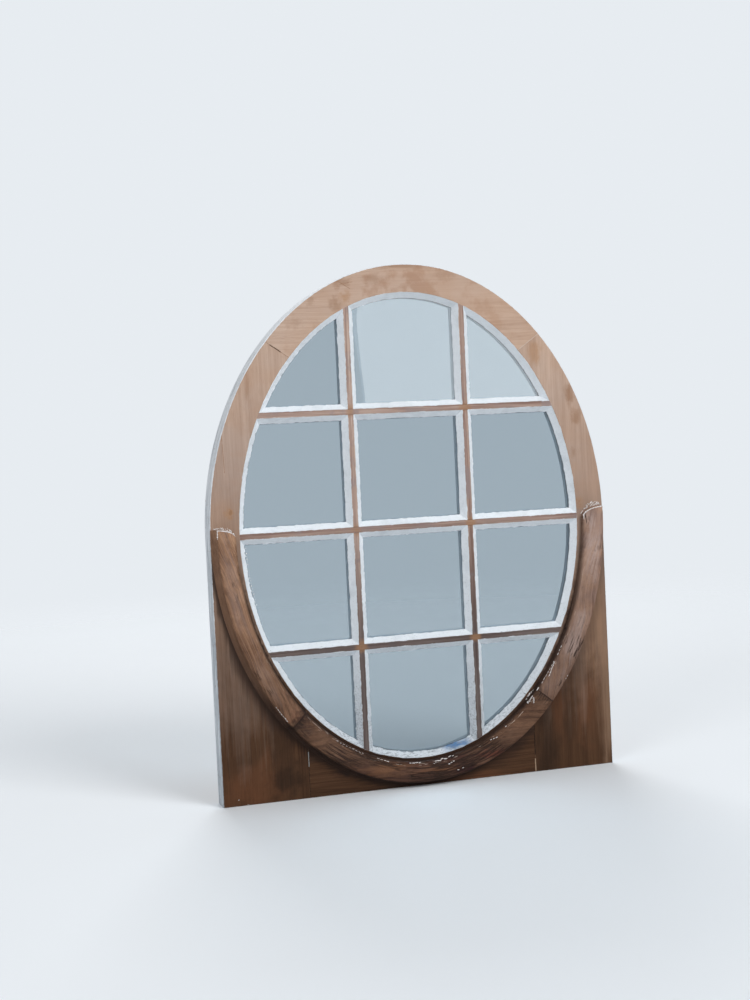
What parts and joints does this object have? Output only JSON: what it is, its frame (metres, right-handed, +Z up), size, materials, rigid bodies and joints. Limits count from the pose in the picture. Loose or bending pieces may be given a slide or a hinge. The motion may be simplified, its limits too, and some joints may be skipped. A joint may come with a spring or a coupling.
{
  "type": "oval window",
  "caption": "Upright oval wooden window with its frame: glazing bars, puttied panes and a drip moulding round the lower half, square at the foot.",
  "frame": {"origin": "middle of the flat bottom edge, halfway through the thickness of the frame", "axes": "+Z up the window, +Y from the weather side to the room side, +X to the right as seen from the weather side"},
  "size_m": [0.816, 0.0721, 1.03],
  "materials": {
    "frame_wood": "old stripped softwood, dry and stained",
    "moulding_wood": "old stripped softwood, dark and cracked at the foot",
    "bar_wood": "old stripped softwood, reddish brown",
    "joint_wood": "bare hardwood",
    "glass": "clear drawn sheet glass, slightly uneven",
    "putty": "old chalky linseed putty with traces of white paint",
    "steel": "dull plain steel"
  },
  "bodies": {
    "root": {"drip_bottom": "moulding_wood", "drip_left": "moulding_wood", "drip_nails": "steel", "drip_right": "moulding_wood", "frame_bottom_rail": "frame_wood", "frame_head": "frame_wood", "frame_left_stile": "frame_wood", "frame_right_stile": "frame_wood", "glazing_points": "steel", "joint_pegs": "joint_wood", "joint_tenons": "joint_wood", "level_bar_lower": "bar_wood", "level_bar_middle": "bar_wood", "level_bar_upper": "bar_wood", "pane_bottom_centre": "glass", "pane_bottom_left": "glass", "pane_bottom_right": "glass", "pane_lower_centre": "glass", "pane_lower_left": "glass", "pane_lower_right": "glass", "pane_top_centre": "glass", "pane_top_left": "glass", "pane_top_right": "glass", "pane_upper_centre": "glass", "pane_upper_left": "glass", "pane_upper_right": "glass", "putty_bottom_centre": "putty", "putty_bottom_left": "putty", "putty_bottom_right": "putty", "putty_lower_centre": "putty", "putty_lower_left": "putty", "putty_lower_right": "putty", "putty_top_centre": "putty", "putty_top_left": "putty", "putty_top_right": "putty", "putty_upper_centre": "putty", "putty_upper_left": "putty", "putty_upper_right": "putty", "upright_bar_left_bottom": "bar_wood", "upright_bar_left_lower": "bar_wood", "upright_bar_left_top": "bar_wood", "upright_bar_left_upper": "bar_wood", "upright_bar_right_bottom": "bar_wood", "upright_bar_right_lower": "bar_wood", "upright_bar_right_top": "bar_wood", "upright_bar_right_upper": "bar_wood"}
  },
  "joints": []
}
